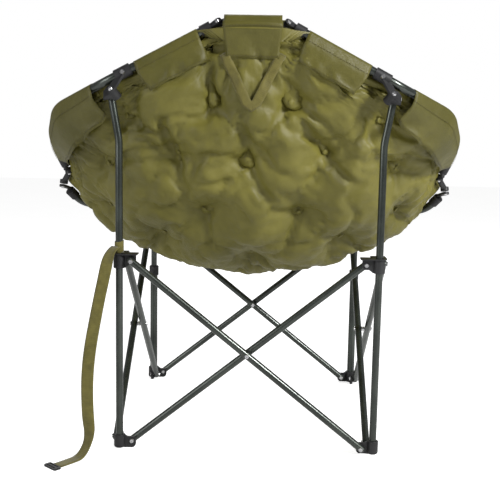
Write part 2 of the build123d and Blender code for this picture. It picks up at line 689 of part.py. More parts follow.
write_pair(link.part, "side_{}_link")


# ---------------------------------------------------------------- saucer
def ring_samples():
    """Points along the left half of the ring, from the back joint to the front one."""
    samples = [back_joint + Vector(-i * 6, 0, 0) for i in range(1, 12)]
    samples += [rear_route @ (i / 120) for i in range(121)]
    samples += [side_rear_joint + (side_front_joint - side_rear_joint) * (i / 10) for i in range(11)]
    samples += [front_route @ (i / 120) for i in range(121)]
    samples += [front_joint + Vector(-i * 6, 0, 0) for i in range(1, 16)]
    return samples


outline = ring_samples()


def fan_position(point):
    """Fan angle in degrees and distance from the line that the planes fan from."""
    away = point - saucer_hub
    return degrees(atan2(away.Z, away.Y)), hypot(away.Y, away.Z)


def fan_plane(angle):
    across = Vector(1, 0, 0)
    heading = Vector(0, cos(radians(angle)), sin(radians(angle)))
    return Plane(origin=saucer_hub, x_dir=across, z_dir=across.cross(heading))


def rim_point(angle, middle):
    """Where a section's edge lies, in its own plane, to keep clear of the ring."""
    places = [fan_position(point) for point in outline]
    crossing = None
    for i in range(len(places) - 1):
        if (places[i][0] - angle) * (places[i + 1][0] - angle) <= 0:
            step = places[i + 1][0] - places[i][0]
            share = (angle - places[i][0]) / step if step else 0
            point = outline[i] + (outline[i + 1] - outline[i]) * share
            if crossing is None or point.X > crossing.X:
                crossing = point
    width, distance = crossing.X, fan_position(crossing)[1]
    plane = fan_plane(angle)
    for i in range(400):
        share = i / 400
        here = (width * (1 - share), distance + (middle - distance) * share)
        spot = plane.from_local_coords((here[0], here[1], 0))
        if min((spot - point).length for point in outline) >= rim_inset:
            return here
    return here


saucer_sections = []
for angle, middle in saucer_fan:
    saucer_sections.append((angle, middle, *rim_point(angle, middle)))


def bulge(middle, width, distance, x):
    """Distance at x on the arc from edge to edge through the middle."""
    rise = middle - distance
    if abs(rise) < 0.01:
        return middle
    radius = (width ** 2 + rise ** 2) / (2 * rise)
    drop = abs(radius) - sqrt(radius ** 2 - x ** 2)
    return middle - drop if rise > 0 else middle + drop


with BuildPart() as saucer:
    for angle, middle, width, distance in saucer_sections:
        with BuildSketch(fan_plane(angle)):
            with BuildLine():
                half = rim_thickness / 2
                crown = saucer_thickness / 2
                out_left = (-width, distance + half)
                out_right = (width, distance + half)
                in_left = (-width, distance - half)
                in_right = (width, distance - half)
                ThreePointArc(out_left, (0, middle + crown), out_right)
                Line(out_right, in_right)
                ThreePointArc(in_right, (0, middle - crown), in_left)
                Line(in_left, out_left)
            make_face()
    loft()
    # tufts draw the padding in
    for row, places in tuft_rows:
        angle, middle, width, distance = saucer_sections[row]
        for x in places:
            half = rim_thickness / 2
            crown = saucer_thickness / 2
            surface = bulge(middle + crown, width, distance + half, x)
            plane = fan_plane(angle)
            press = plane.from_local_coords((x, surface + tuft_radius - tuft_depth, 0))
            with Locations(press):
                Sphere(tuft_radius, mode=Mode.SUBTRACT)
write(saucer.part, "saucer")
print("saucer rim", [(round(w), round(d)) for _, _, w, d in saucer_sections])


# ---------------------------------------------------------------- sleeves of the cover
def sleeve_profile(plane, inside):
    with BuildSketch(plane) as profile:
        Circle(inside + sleeve_gap + sleeve_wall)
        Circle(inside + sleeve_gap, mode=Mode.SUBTRACT)
    return profile.sketch


def bar_sleeve(joint, half_length):
    plane = Plane(origin=Vector(-half_length, joint.Y, joint.Z), z_dir=(1, 0, 0))
    extrude(sleeve_profile(plane, bar_sleeve_radius), amount=2 * half_length)


with BuildPart() as back_sleeve:
    bar_sleeve(back_joint, back_sleeve_half)
write(back_sleeve.part, "back_sleeve")
with BuildPart() as front_sleeve:
    bar_sleeve(front_joint, front_sleeve_half)
write(front_sleeve.part, "front_sleeve")

with BuildPart() as rear_sleeves:
    upper_start = back_joint + rear_along * upper_sleeve[0]
    upper_plane = Plane(origin=upper_start, z_dir=rear_along)
    extrude(sleeve_profile(upper_plane, ring_r), amount=upper_sleeve[1] - upper_sleeve[0])
    behind_leg = unit(rear_points[1], rear_points[2])
    side_start = rear_points[1] + behind_leg * side_sleeve[0]
    side_end = rear_points[4] + unit(rear_points[4], rear_points[3]) * side_sleeve[1]
    with BuildLine() as side_line:
        FilletPolyline(side_start, rear_points[2], rear_points[3], side_end,
                       radius=rear_ring_radii[1:])
    side_plane = Plane(origin=side_start, z_dir=behind_leg)
    sweep(sleeve_profile(side_plane, ring_r), path=side_line.line)
write_pair(rear_sleeves.part, "rear_{}_sleeves")

# ---------------------------------------------------------------- carry handle
back_surface = [
    fan_plane(angle).from_local_coords((0, middle + saucer_thickness / 2, 0))
    for angle, middle in saucer_fan
]
above = min((p for p in back_surface if p.Z > handle_height and p.Y > 0), key=lambda p: p.Z)
below = max((p for p in back_surface if p.Z <= handle_height and p.Y > 0), key=lambda p: p.Z)
up_shell = unit(below, above)
shell_middle = below + up_shell * ((handle_height - below.Z) / up_shell.Z)
off_shell = Vector(1, 0, 0).cross(up_shell) * -1
handle_plane = Plane(origin=shell_middle + off_shell * 3.4, x_dir=(1, 0, 0), z_dir=off_shell * -1)
leg_run = Vector(handle_top[0] - handle_low[0], handle_top[1] - handle_low[1])
half_cut = handle_width / 2 * leg_run.length / leg_run.Y   # across a leg, measured level
apex = handle_low[1] - (handle_low[0] - half_cut) * leg_run.Y / leg_run.X
handle_outline = [
    (handle_top[0] - half_cut, handle_top[1]), (handle_top[0] + half_cut, handle_top[1]),
    (handle_low[0] + half_cut, handle_low[1]), (handle_low[0], handle_low[1] - handle_width / 2),
]
with BuildPart() as handle:
    with BuildSketch(handle_plane):
        with BuildLine():
            mirrored = [(-x, y) for x, y in reversed(handle_outline)]
            Polyline((0, apex), *handle_outline, *mirrored, close=True)
        make_face()
    extrude(amount=-handle_thickness)
write(handle.part, "carry_handle")

# ---------------------------------------------------------------- strap
strap_up = Vector(0, 0, 1)
strap_out = Vector(cos(radians(strap_heading)), sin(radians(strap_heading)), 0)
strap_plane = Plane(
    origin=Vector(half_spacing, half_spacing, 0), x_dir=strap_out, z_dir=strap_out.cross(strap_up)
)
route_points = [Vector(*point) for point in strap_route]
strap_radii = []
for i in range(1, len(route_points) - 1):
    before = route_points[i] - route_points[i - 1]
    after = route_points[i + 1] - route_points[i]
    half_turn = radians(before.get_angle(after)) / 2
    strap_radii.append(0.45 * min(before.length, after.length) / tan(half_turn))
loop_inner = leg_tube_d / 2 + strap_loop_gap
loop_low = collar_pivot_height + cross_tube_d / 2 + 5 + collar_lip_thickness + face_gap
with BuildPart() as strap:
    with BuildSketch(strap_plane):
        with BuildLine() as strap_line:
            FilletPolyline(*route_points, radius=strap_radii)
        trace(line_width=strap_thickness)
    extrude(amount=strap_width / 2, both=True)
    with BuildSketch(Plane(origin=(half_spacing, half_spacing, loop_low))):
        Circle(loop_inner + strap_thickness)
    extrude(amount=strap_width)
    with BuildSketch(Plane(origin=(half_spacing, half_spacing, loop_low))):
        Circle(loop_inner)
    extrude(amount=strap_width, mode=Mode.SUBTRACT)
write(strap.part, "carry_strap")
strap_length = sum(edge.length for edge in strap_line.edges())
print("strap length", round(strap_length), "radii", [round(radius) for radius in strap_radii])

route_end = route_points[-1]
with BuildPart() as buckle:
    middle = strap_plane.from_local_coords((route_end.X + face_gap + buckle_depth / 2, 0, 0))
    with BuildSketch(Plane(origin=middle, x_dir=strap_out, z_dir=strap_up)):
        RectangleRounded(buckle_depth, buckle_bar, 3)
        for shift in (-1, 1):
            with Locations((shift * buckle_depth / 4, 0)):
                RectangleRounded(3.2, strap_width + 2, 1.2, mode=Mode.SUBTRACT)
    extrude(amount=buckle_thickness)
write(buckle.part, "strap_buckle")
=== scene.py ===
import math
import random
import bpy
import bmesh
from mathutils import Matrix, Vector, noise
from mathutils.bvhtree import BVHTree


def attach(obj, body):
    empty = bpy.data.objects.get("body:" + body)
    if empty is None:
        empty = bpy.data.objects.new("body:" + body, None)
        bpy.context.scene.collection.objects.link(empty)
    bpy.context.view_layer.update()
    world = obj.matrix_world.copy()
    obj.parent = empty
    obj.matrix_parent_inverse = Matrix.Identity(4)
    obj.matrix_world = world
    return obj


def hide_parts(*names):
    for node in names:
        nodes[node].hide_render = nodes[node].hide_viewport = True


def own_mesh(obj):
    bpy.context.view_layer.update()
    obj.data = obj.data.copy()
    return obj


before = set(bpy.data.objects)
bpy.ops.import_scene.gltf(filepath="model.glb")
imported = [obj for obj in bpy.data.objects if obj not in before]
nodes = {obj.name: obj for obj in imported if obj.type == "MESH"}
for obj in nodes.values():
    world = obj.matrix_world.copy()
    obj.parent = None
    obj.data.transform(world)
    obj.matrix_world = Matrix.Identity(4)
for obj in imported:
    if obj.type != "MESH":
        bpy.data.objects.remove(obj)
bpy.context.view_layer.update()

scene = bpy.context.scene
random.seed(7)
rise = 0.04836  # the base's middle lies this far behind the chair's middle


def lerp(a, b, t):
    return a + (b - a) * t


def smooth(a, b, x):
    t = min(1.0, max(0.0, (x - a) / (b - a)))
    return t * t * (3 - 2 * t)


# camera, behind the chair and a little to its left
cameraSettings = {
    "place": (-0.044, 2.028 + rise, 0.667),
    "yaw": 1.37, "pitch": 7.86, "roll": 1.06,
    "lens": 63.07, "sensor": 36.0,
}


def makeCamera(settings):
    yaw, pitch, roll = (math.radians(settings[k]) for k in ("yaw", "pitch", "roll"))
    ahead = Vector((math.sin(yaw) * math.cos(pitch), -math.cos(yaw) * math.cos(pitch), -math.sin(pitch)))
    right = ahead.cross(Vector((0, 0, 1))).normalized()
    up = right.cross(ahead)
    turnedRight = right * math.cos(roll) + up * math.sin(roll)
    turnedUp = up * math.cos(roll) - right * math.sin(roll)
    data = bpy.data.cameras.new("photoCamera")
    data.lens = settings["lens"]
    data.sensor_width = settings["sensor"]
    data.clip_end = 60
    camera = bpy.data.objects.new("photoCamera", data)
    scene.collection.objects.link(camera)
    turn = Matrix((turnedRight, turnedUp, -ahead)).transposed()
    camera.matrix_world = Matrix.Translation(Vector(settings["place"])) @ turn.to_4x4()
    scene.camera = camera


makeCamera(cameraSettings)
print("camera placed")


# materials
def newMaterial(name):
    material = bpy.data.materials.new(name)
    material.use_nodes = True
    tree = material.node_tree
    shader = next(n for n in tree.nodes if n.type == "BSDF_PRINCIPLED")
    return material, tree, shader


def addNode(tree, kind, **values):
    node = tree.nodes.new(kind)
    for key, value in values.items():
        if key in node.inputs:
            node.inputs[key].default_value = value
        else:
            setattr(node, key, value)
    return node


def objectPoints(tree, scale=(1, 1, 1), turn=(0, 0, 0)):
    coords = addNode(tree, "ShaderNodeTexCoord")
    mapping = addNode(tree, "ShaderNodeMapping")
    mapping.inputs["Scale"].default_value = scale
    mapping.inputs["Rotation"].default_value = turn
    tree.links.new(coords.outputs["Object"], mapping.inputs["Vector"])
    return mapping.outputs["Vector"]


def noiseField(tree, vector, scale, detail=3.0, rough=0.5):
    field = addNode(tree, "ShaderNodeTexNoise", Scale=scale, Detail=detail, Roughness=rough)
    tree.links.new(vector, field.inputs["Vector"])
    return field.outputs["Fac"]


def ramp(tree, source, stops):
    node = addNode(tree, "ShaderNodeValToRGB")
    elements = node.color_ramp.elements
    for i, (place, color) in enumerate(stops):
        element = elements[i] if i < 2 else elements.new(place)
        element.position = place
        element.color = (*color, 1) if len(color) == 3 else color
    tree.links.new(source, node.inputs["Fac"])
    return node.outputs["Color"]


def spread(tree, source, low, high, fromLow=0.3, fromHigh=0.7):
    node = addNode(tree, "ShaderNodeMapRange")
    node.inputs["From Min"].default_value = fromLow
    node.inputs["From Max"].default_value = fromHigh
    node.inputs["To Min"].default_value = low
    node.inputs["To Max"].default_value = high
    tree.links.new(source, node.inputs["Value"])
    return node.outputs["Result"]


def addBump(tree, shader, height, strength, distance, under=None):
    bump = addNode(tree, "ShaderNodeBump", Strength=strength, Distance=distance)
    tree.links.new(height, bump.inputs["Height"])
    if under is not None:
        tree.links.new(under, bump.inputs["Normal"])
    tree.links.new(bump.outputs["Normal"], shader.inputs["Normal"])
    return bump.outputs["Normal"]


tubeFinish = {"low": (0.030, 0.036, 0.031), "high": (0.060, 0.070, 0.060), "metal": 0.75, "rough": (0.24, 0.36)}
plasticFinish = {"low": (0.010, 0.010, 0.011), "high": (0.022, 0.022, 0.023), "rough": (0.42, 0.58)}
rivetFinish = {"low": (0.50, 0.50, 0.51), "high": (0.72, 0.72, 0.73), "rough": (0.16, 0.34)}
clothFinish = {"low": (0.108, 0.098, 0.017), "high": (0.178, 0.160, 0.031), "weave": 900.0, "rough": (0.40, 0.54)}
# the sleeves' cloth is the shell's cloth painted darker: painted shade against the key light that falls on the sleeves
# more than on the shell
sleevePaintedShadeFinish = dict(clothFinish, low=(0.072, 0.066, 0.011), high=(0.120, 0.108, 0.021))
webFinish = {"low": (0.090, 0.078, 0.014), "high": (0.150, 0.130, 0.026), "rib": 520.0, "rough": (0.60, 0.78)}


def makeTubeSteel(finish):
    material, tree, shader = newMaterial("gunmetalLacquer")
    points = objectPoints(tree)
    broad = noiseField(tree, points, 14.0, 4)
    fine = noiseField(tree, points, 700.0, 2)
    tree.links.new(ramp(tree, broad, [(0.35, finish["low"]), (0.65, finish["high"])]), shader.inputs["Base Color"])
    tree.links.new(spread(tree, fine, *finish["rough"]), shader.inputs["Roughness"])
    shader.inputs["Metallic"].default_value = finish["metal"]
    shader.inputs["Coat Weight"].default_value = 0.55
    shader.inputs["Coat Roughness"].default_value = 0.16
    addBump(tree, shader, fine, 0.10, 0.0002)
    return material


def makePlastic(finish):
    material, tree, shader = newMaterial("mouldedBlackPlastic")
    points = objectPoints(tree)
    grain = noiseField(tree, points, 1500.0, 2)
    broad = noiseField(tree, points, 40.0, 3)
    tree.links.new(ramp(tree, broad, [(0.3, finish["low"]), (0.7, finish["high"])]), shader.inputs["Base Color"])
    tree.links.new(spread(tree, grain, *finish["rough"]), shader.inputs["Roughness"])
    shader.inputs["Specular IOR Level"].default_value = 0.45
    addBump(tree, shader, grain, 0.22, 0.0002)
    return material


def makeRivetSteel(finish):
    material, tree, shader = newMaterial("brightRivetSteel")
    points = objectPoints(tree)
    scuff = noiseField(tree, points, 900.0, 3, 0.7)
    tree.links.new(ramp(tree, scuff, [(0.3, finish["low"]), (0.7, finish["high"])]), shader.inputs["Base Color"])
    tree.links.new(spread(tree, scuff, *finish["rough"]), shader.inputs["Roughness"])
    shader.inputs["Metallic"].default_value = 1.0
    addBump(tree, shader, scuff, 0.12, 0.0001)
    return material


def weaveHeight(tree, points, scale):
    heights = []
    for turn in (0.0, math.pi / 2):
        mapping = addNode(tree, "ShaderNodeMapping")
        mapping.inputs["Rotation"].default_value = (0.35, turn, 0.2)
        tree.links.new(points, mapping.inputs["Vector"])
        wave = addNode(tree, "ShaderNodeTexWave", Scale=scale, Distortion=1.2, Detail=1.0)
        wave.inputs["Detail Scale"].default_value = 1.5
        tree.links.new(mapping.outputs["Vector"], wave.inputs["Vector"])
        heights.append(wave.outputs["Fac"])
    both = addNode(tree, "ShaderNodeMath", operation="MULTIPLY")
    tree.links.new(heights[0], both.inputs[0])
    tree.links.new(heights[1], both.inputs[1])
    return both.outputs["Value"]


def makeCloth(name, finish, crease=0.35):
    material, tree, shader = newMaterial(name)
    points = objectPoints(tree)
    broad = noiseField(tree, points, 7.0, 4, 0.6)
    tree.links.new(ramp(tree, broad, [(0.3, finish["low"]), (0.7, finish["high"])]), shader.inputs["Base Color"])
    weave = weaveHeight(tree, points, finish["weave"])
    tree.links.new(spread(tree, weave, *finish["rough"], 0.0, 1.0), shader.inputs["Roughness"])
    shader.inputs["Sheen Weight"].default_value = 0.05
    shader.inputs["Sheen Roughness"].default_value = 0.35
    shader.inputs["Sheen Tint"].default_value = (0.60, 0.56, 0.25, 1)
    shader.inputs["Specular IOR Level"].default_value = 0.34
    wrinkle = noiseField(tree, points, 42.0, 4, 0.55)
    soft = addBump(tree, shader, wrinkle, crease, 0.004)
    addBump(tree, shader, weave, 0.28, 0.0003, soft)
    return material


def makeWebbing(name, finish):
    material, tree, shader = newMaterial(name)
    points = objectPoints(tree)
    uv = addNode(tree, "ShaderNodeUVMap")
    uv.uv_map = "along"
    ribs = addNode(tree, "ShaderNodeTexWave", Scale=finish["rib"] / 6.283, Distortion=0.4, Detail=1.0)
    ribs.bands_direction = "X"
    ribs.inputs["Detail Scale"].default_value = 2.0
    tree.links.new(uv.outputs["UV"], ribs.inputs["Vector"])
    wear = noiseField(tree, points, 60.0, 4, 0.6)
    tree.links.new(ramp(tree, wear, [(0.3, finish["low"]), (0.7, finish["high"])]), shader.inputs["Base Color"])
    tree.links.new(spread(tree, ribs.outputs["Fac"], *finish["rough"], 0.0, 1.0), shader.inputs["Roughness"])
    shader.inputs["Sheen Weight"].default_value = 0.25
    shader.inputs["Sheen Roughness"].default_value = 0.5
    shader.inputs["Specular IOR Level"].default_value = 0.3
    addBump(tree, shader, ribs.outputs["Fac"], 0.5, 0.0005)
    return material


tubeSteel = makeTubeSteel(tubeFinish)
plastic = makePlastic(plasticFinish)
rivetSteel = makeRivetSteel(rivetFinish)
cloth = makeCloth("oliveCloth", clothFinish)
# the darker cloth copy for the sleeves is painted shade, the same cloth as the shell
sleevePaintedShadeCloth = makeCloth("oliveClothPaintedShade", sleevePaintedShadeFinish, 0.55)
threadFinish = dict(clothFinish, low=(0.065, 0.055, 0.016), high=(0.10, 0.085, 0.026))
thread = makeCloth("oliveThread", threadFinish, 0.0)
webbing = makeWebbing("oliveWebbing", webFinish)
print("materials made")


# the rigid pieces keep their own meshes; mixed nodes get a finish for each loose part
def looseParts(mesh):
    count = len(mesh.vertices)
    keys = {}
    root = list(range(count))

    def find(i):
        while root[i] != i:
            root[i] = root[root[i]]
            i = root[i]
        return i
    for vertex in mesh.vertices:
        key = tuple(round(c * 20000) for c in vertex.co)
        if key in keys:
            root[find(vertex.index)] = find(keys[key])
        else:
            keys[key] = vertex.index
    for face in mesh.polygons:
        first = find(face.vertices[0])
        for other in face.vertices[1:]:
            root[find(other)] = first
    parts = {}
    for face in mesh.polygons:
        parts.setdefault(find(face.vertices[0]), []).append(face.index)
    return list(parts.values())


def partBox(mesh, faces):
    corners = [mesh.vertices[v].co for f in faces for v in mesh.polygons[f].vertices]
    low = Vector([min(c[i] for c in corners) for i in range(3)])
    high = Vector([max(c[i] for c in corners) for i in range(3)])
    return low, high


def finishNode(name, material):
    mesh = nodes[name].data
    mesh.materials.clear()
    mesh.materials.append(material)
    for face in mesh.polygons:
        face.material_index = 0


def finishMixed(name, main, tube=None):
    mesh = nodes[name].data
    mesh.materials.clear()
    mesh.materials.append(main)
    mesh.materials.append(rivetSteel)
    if tube:
        mesh.materials.append(tube)
    for faces in looseParts(mesh):
        low, high = partBox(mesh, faces)
        size = high - low
        longest = max(size)
        kind = 0
        if tube and longest > 0.06:
            kind = 2
        elif longest < 0.0215 or sorted(size)[1] < 0.0135:
            kind = 1
        if main is plastic and tube is None and len(faces) > 0 and sorted(size)[1] < 0.0135:
            kind = 1
        for index in faces:
            mesh.polygons[index].material_index = kind


for name in nodes:
    if name in ("back_bar", "front_bar"):
        finishMixed(name, plastic, tubeSteel)
    elif name.endswith("_block") or name.endswith("_link"):
        finishMixed(name, plastic)
    elif name.endswith("_rivets"):
        finishNode(name, rivetSteel)
    elif any(word in name for word in ("foot", "collar", "cap", "fittings", "buckle")):
        finishNode(name, plastic)
    elif any(word in name for word in ("saucer", "sleeve")):
        finishNode(name, cloth)
    elif name in ("carry_strap", "carry_handle"):
        finishNode(name, webbing)
    else:
        finishNode(name, tubeSteel)
print("rigid pieces finished")


# the cover's shape: planes fan out across the chair from a line above the seat
hub = Vector((0, -0.080 + rise, 0.750))
ringLine = {
    "back": [(0.0, 265, 872.55), (68.92, 265, 872.55)],
    "rear": [(68.92, 265, 872.55), (290, 266, 756), (415, 165, 703), (452, 60, 640), (425.6, 9.7, 565.2)],
    "front": [(445.6, -19.26, 531.2), (408.6, -65.07, 481.74), (149.83, -283.65, 464.05), (94.43, -378.08, 485)],
}
saucerSettings = {
    "angles": [16.4, 11, 5, -1, -8, -20, -36, -52, -68, -84, -100, -116, -128, -135.6],
    "middles": [351, 343, 335, 327, 321, 316, 322, 343, 372, 391, 394, 388, 392, 398],
    "widths": [70, 132, 201, 287, 357, 409, 426, 418, 413, 391, 304, 195, 116, 84],
    "edges": [357, 350, 345, 324, 271, 219, 190, 194, 219, 265, 288, 324, 364, 388],
    "rows": 132, "columns": 170,
    "rim": 0.0085, "crown": 0.011, "tuftDeep": 0.011, "tuftWide": 0.024,
    "hemWide": 0.030, "hemPuff": 0.0045,
}


def roundedLine(points, radii, step=0.006):
    pts = [Vector((x / 1000, y / 1000 + rise, z / 1000)) for x, y, z in points]
    out = [pts[0]]
    for i in range(1, len(pts) - 1):
        before = (pts[i - 1] - pts[i]).normalized()
        after = (pts[i + 1] - pts[i]).normalized()
        half = before.angle(after) / 2
        radius = radii[i - 1] / 1000
        reach = radius / math.tan(half)
        a, b = pts[i] + before * reach, pts[i] + after * reach
        centre = pts[i] + (before + after).normalized() * (radius / math.sin(half))
        for k in range(13):
            mid = a.lerp(b, k / 12) - centre
            out.append(centre + mid.normalized() * radius)
    out.append(pts[-1])
    even = [out[0]]
    for a, b in zip(out, out[1:]):
        count = max(1, int((b - a).length / step))
        even += [a.lerp(b, (k + 1) / count) for k in range(count)]
    return even


rearLine = roundedLine(ringLine["rear"], (60, 110, 110))
frontLine = roundedLine(ringLine["front"], (85, 85))
backLine = roundedLine([(0.0, 265, 872.55), (68.92, 265, 872.55)], ())
lowLine = roundedLine([(94.43, -378.08, 485), (0.0, -378.08, 485)], ())
halfRing = backLine + rearLine + frontLine + lowLine
ringTree = [(p, (b - a).normalized()) for p, a, b in
            ((halfRing[i], halfRing[i - 1], halfRing[i + 1]) for i in range(1, len(halfRing) - 1))
            if (b - a).length > 1e-6]


def curveThrough(xs, ys, x):
    count = len(xs)
    for i in range(count - 1):
        if xs[i] >= x >= xs[i + 1] or i == count - 2:
            break
    span = xs[i + 1] - xs[i]
    t = min(1.0, max(0.0, (x - xs[i]) / span))

    def slope(k):
        if k == 0:
            return (ys[1] - ys[0]) / (xs[1] - xs[0])
        if k == count - 1:
            return (ys[-1] - ys[-2]) / (xs[-1] - xs[-2])
        return (ys[k + 1] - ys[k - 1]) / (xs[k + 1] - xs[k - 1])
    m0, m1 = slope(i) * span, slope(i + 1) * span
    a, b = ys[i], ys[i + 1]
    return ((2 * t ** 3 - 3 * t ** 2 + 1) * a + (t ** 3 - 2 * t ** 2 + t) * m0
            + (3 * t ** 2 - 2 * t ** 3) * b + (t ** 3 - t ** 2) * m1)


def sectionAt(angle):
    s = saucerSettings
    return tuple(curveThrough(s["angles"], s[key], angle) / 1000 for key in ("middles", "widths", "edges"))


def shellPoint(across, angle, lift=0.0):
    middle, width, edge = sectionAt(angle)
    bend = middle - edge
    x = across * width
    if abs(bend) < 1e-5:
        distance = middle
    else:
        radius = (width ** 2 + bend ** 2) / (2 * bend)
        drop = abs(radius) - math.sqrt(max(0.0, radius ** 2 - x ** 2))
        distance = middle - drop if bend > 0 else middle + drop
    distance += lift
    heading = math.radians(angle)
    return hub + Vector((x, math.cos(heading) * distance, math.sin(heading) * distance))


def shellPlace(point):
    away = point - hub
    angle = math.degrees(math.atan2(away.z, away.y))
    angle = min(saucerSettings["angles"][0], max(saucerSettings["angles"][-1], angle))
    width = sectionAt(angle)[1]
    return max(-1.0, min(1.0, point.x / width)), angle


# buttons that draw the padding in, by place across and fan angle
tufts = [
    (0.02, -26.5), (-0.36, -24.5), (0.37, -26.5), (0.22, -5.5), (-0.23, -5.0),
    (0.68, -12), (-0.68, -12), (0.72, -38), (-0.72, -38), (0.24, -50), (-0.24, -50),
    (0.0, -72), (0.48, -68), (-0.48, -68), (0.78, -66), (-0.78, -66), (0.26, -92), (-0.26, -92),
    (0.66, -92), (-0.66, -92), (0.0, -110), (0.45, -110), (-0.45, -110),
]
tuftPoints = [shellPoint(a, b) for a, b in tufts]
# long soft folds in the shell, each from one place to another with its depth
folds = [
    ((0.02, -26.5), (0.03, -12.0), 0.0062), ((0.02, -26.5), (-0.10, -44.0), 0.0075),
    ((0.37, -26.5), (0.52, -8.0), 0.0060), ((0.37, -26.5), (0.30, -44.0), 0.0060),
    ((-0.36, -24.5), (-0.24, -6.0), 0.0070), ((-0.36, -24.5), (-0.50, -40.0), 0.0070),
    ((0.22, -5.5), (0.40, 3.0), 0.0060), ((0.22, -5.5), (0.10, 8.0), 0.0050),
    ((-0.23, -5.0), (-0.05, 6.0), 0.0050), ((-0.23, -5.0), (-0.42, -14.0), 0.0070),
    ((0.68, -12.0), (0.40, -18.0), 0.0060), ((-0.68, -12.0), (-0.85, -24.0), 0.0060),
    ((0.72, -38.0), (0.55, -28.0), 0.0060), ((-0.72, -38.0), (-0.60, -26.0), 0.0055),
    ((0.24, -50.0), (0.20, -64.0), 0.0060), ((-0.24, -50.0), (-0.16, -66.0), 0.0060),
    ((0.0, -72.0), (0.10, -88.0), 0.0050), ((0.48, -68.0), (0.60, -84.0), 0.0060),
    ((-0.48, -68.0), (-0.62, -80.0), 0.0060), ((0.26, -92.0), (0.28, -106.0), 0.0050),
    ((-0.26, -92.0), (-0.32, -108.0), 0.0050), ((0.66, -92.0), (0.80, -98.0), 0.0050),
    ((-0.66, -92.0), (-0.80, -100.0), 0.0050), ((0.0, -110.0), (0.0, -124.0), 0.0050),
    ((0.78, -66.0), (0.92, -58.0), 0.0050), ((-0.78, -66.0), (-0.92, -60.0), 0.0050),
    ((0.10, -14.0), (0.30, -20.0), 0.0050), ((-0.08, -16.0), (-0.16, -8.0), 0.0050),
]
foldLines = [(shellPoint(*a), shellPoint(*b), deep) for a, b, deep in folds]


def nearLine(point, start, end):
    line = end - start
    t = max(0.0, min(1.0, (point - start).dot(line) / line.length_squared))
    return (point - start - line * t).length, t


def padding(place, across, angle, outer):
    s = saucerSettings
    middle, width, edge = sectionAt(angle)
    toSide = (1 - abs(across)) * width
    toTop = (s["angles"][0] - angle) * math.radians(1) * middle
    toFront = (angle - s["angles"][-1]) * math.radians(1) * middle
    inward = min(toSide, toTop, toFront)
    height = s["crown"] * smooth(0.0, 0.075, inward)
    # lumps between the buttons
    near = sorted((place - t).length for t in tuftPoints)[:2]
    dip = math.exp(-(near[0] / s["tuftWide"]) ** 2)
    height += 0.0045 * smooth(0.01, 0.085, near[0]) * smooth(0.0, 0.05, inward)
    height -= s["tuftDeep"] * dip * smooth(0.0, 0.03, inward)
    for start, end, deep in foldLines:
        distance, t = nearLine(place, start, end)
        if distance < 0.05:
            wave = noise.noise(place * 22) * 0.006
            taper = smooth(0.0, 0.12, t) * (1 - smooth(0.62, 1.0, t)) + 0.35 * (1 - smooth(0.0, 0.2, t))
            shape = math.exp(-((distance + wave) / 0.008) ** 2) - 0.55 * math.exp(-((distance + wave - 0.018) / 0.010) ** 2)
            height -= deep * shape * taper * (1.0 if outer else 0.7)
    height += 0.0030 * noise.noise(place * 9 + Vector((3, 1, 7))) * smooth(0.0, 0.04, inward)
    height += 0.0014 * noise.noise(place * 30) * smooth(0.0, 0.03, inward)
    # the gathered hem puffs out in small pleats along the edge
    if inward < s["hemWide"] * 1.6:
        run = math.atan2(place.z - hub.z + 0.1, place.x) if abs(across) > 0.8 else place.x * 3.2
        pleat = 0.5 + 0.5 * math.sin(run * 46 + 2.5 * noise.noise(place * 16))
        bead = math.exp(-((inward - s["hemWide"] * 0.45) / (s["hemWide"] * 0.33)) ** 2)
        groove = math.exp(-((inward - s["hemWide"]) / 0.0045) ** 2)
        gathered = smooth(-10.0, -30.0, angle)
        height += s["hemPuff"] * bead * (0.55 + 0.45 * pleat * gathered)
        height -= 0.0040 * groove * (0.4 + 0.6 * gathered)
        height -= 0.0022 * gathered * (1 - pleat) * smooth(s["hemWide"] * 1.6, s["hemWide"], inward)
    return height


simSettings = {"pressure": 5.0, "grow": -0.075, "frames": 20, "cap": 0.022, "tuftHold": 0.009, "edgeHold": 0.012}
lipSettings = {"steps": 5, "reach": 0.0185, "clear": 0.0165}


def nearestRing(point):
    half = Vector((abs(point.x), point.y, point.z))
    spot, along = min(ringTree, key=lambda r: (r[0] - half).length_squared)
    if point.x < 0:
        return Vector((-spot.x, spot.y, spot.z)), Vector((-along.x, along.y, along.z))
    return spot, along


def addLip(build, s):
    # the edge runs on past the ring's inner side and stands a little beyond the tube
    rim = [v for v in build.verts if v.is_boundary]
    runs = {}
    for vertex in rim:
        spot, along = nearestRing(vertex.co)
        toBowl = Vector((0, 0.02, 0.62)) - spot
        toBowl = (toBowl - along * toBowl.dot(along)).normalized()
        away = spot - vertex.co
        away -= along * away.dot(along)
        out = (away - toBowl * away.dot(toBowl)).normalized()
        start = vertex.co.copy()
        passing = spot + toBowl * s["clear"]
        end = spot + out * s["reach"] + toBowl * (s["clear"] * 0.7)
        runs[vertex] = (start, start.lerp(passing, 0.55) + toBowl * 0.003, passing, end)
    edges = [e for e in build.edges if e.is_boundary]
    here = {v: v for v in rim}
    for step in range(1, s["steps"] + 1):
        t = step / s["steps"]
        made = bmesh.ops.extrude_edge_only(build, edges=edges)["geom"]
        fresh = {v for v in made if isinstance(v, bmesh.types.BMVert)}
        following = {}
        for old, source in here.items():
            for edge in old.link_edges:
                other = edge.other_vert(old)
                if other in fresh:
                    following[other] = source
        for vertex, source in following.items():
            a, b, c, d = runs[source]
            vertex.co = a * (1 - t) ** 3 + b * 3 * t * (1 - t) ** 2 + c * 3 * t * t * (1 - t) + d * t ** 3
        here = following
        edges = [e for e in made if isinstance(e, bmesh.types.BMEdge)]
    return runs


